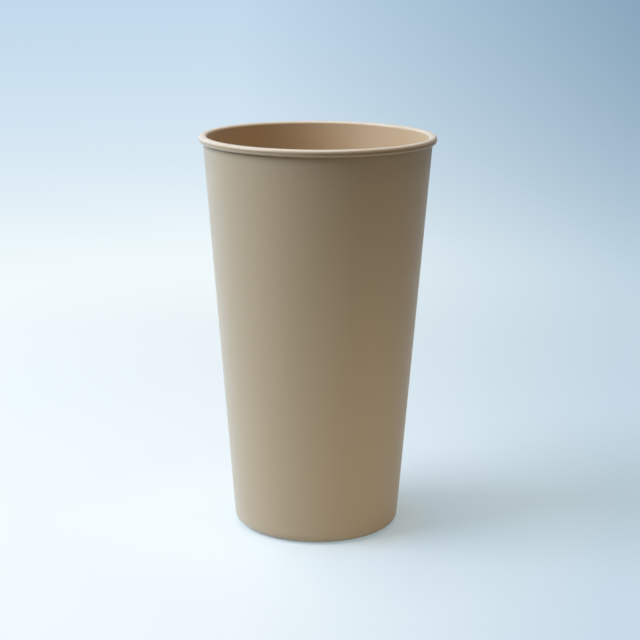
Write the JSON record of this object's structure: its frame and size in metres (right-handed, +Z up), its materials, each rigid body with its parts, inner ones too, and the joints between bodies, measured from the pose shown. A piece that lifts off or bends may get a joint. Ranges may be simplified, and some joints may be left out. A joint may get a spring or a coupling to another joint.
{
  "type": "coffee cup",
  "caption": "Tall tapered plastic coffee cup with a double wall, a round beaded rim that a press-on lid fits, and a recessed base.",
  "frame": {"origin": "on the cup's axis in the plane that it stands on", "axes": "+Z up along the cup's axis; the cup is round, so +X and +Y are free"},
  "size_m": [0.09, 0.09, 0.1525],
  "materials": {
    "shell_plastic": "fine satin grain, tan",
    "liner_plastic": "smooth satin, tan",
    "cap_plastic": "matt, tan"
  },
  "bodies": {
    "root": {"outer_shell": "shell_plastic", "inner_liner": "liner_plastic", "base_cap": "cap_plastic"}
  },
  "joints": []
}
